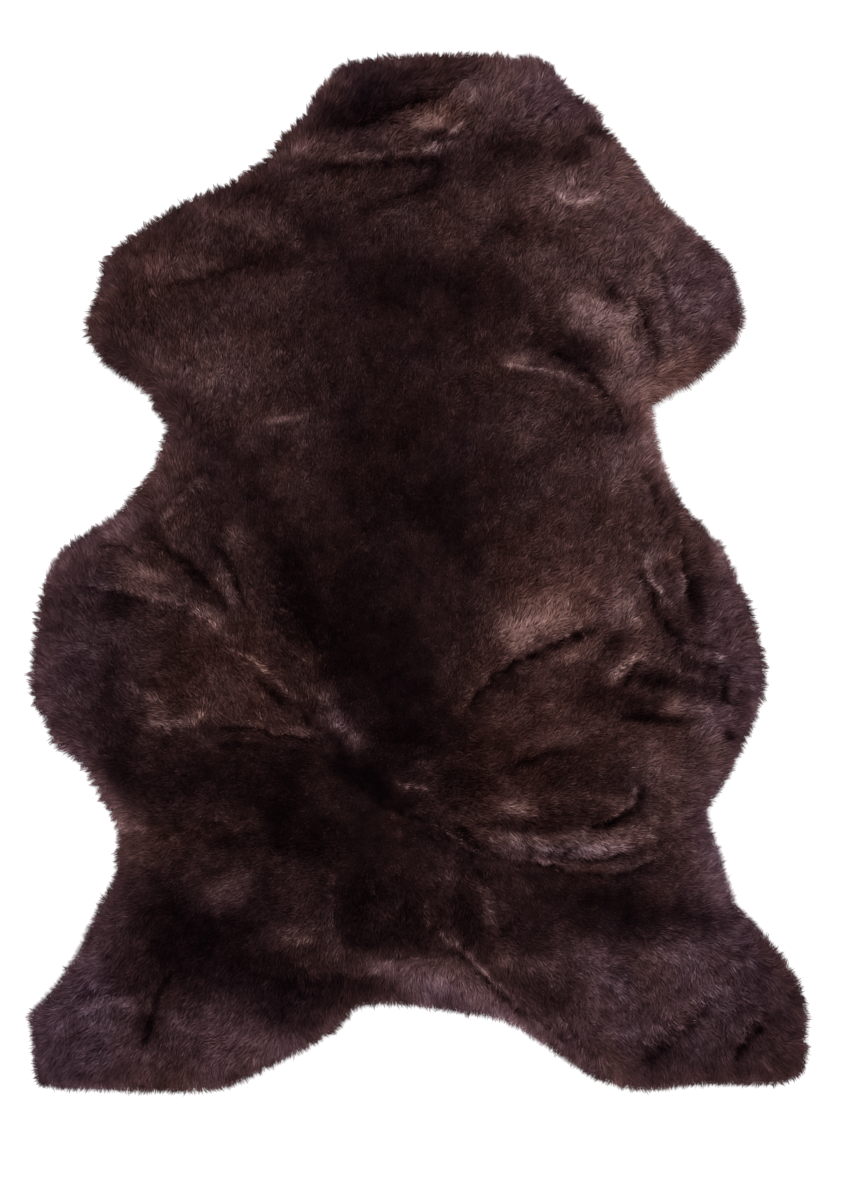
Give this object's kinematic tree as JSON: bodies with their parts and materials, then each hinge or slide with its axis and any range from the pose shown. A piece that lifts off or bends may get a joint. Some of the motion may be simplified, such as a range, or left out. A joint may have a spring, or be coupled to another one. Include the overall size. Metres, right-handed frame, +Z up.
{
  "type": "sheepskin rug",
  "caption": "Sheepskin rug in the natural shape of the hide, with short dense wool on top and soft folds, lying flat on the floor.",
  "frame": {"origin": "on the floor, under the middle of the rug's bounding box", "axes": "+Z up out of the wool, +Y along the hide from tail to neck, +X to the right of the hide seen from above with the neck up"},
  "size_m": [0.7948, 1.0504, 0.0471],
  "materials": {
    "fleece": "dark brown clipped wool, soft and matt with a faint sheen where the fibres lean"
  },
  "bodies": {
    "root": {"sheepskin": "fleece"}
  },
  "joints": []
}
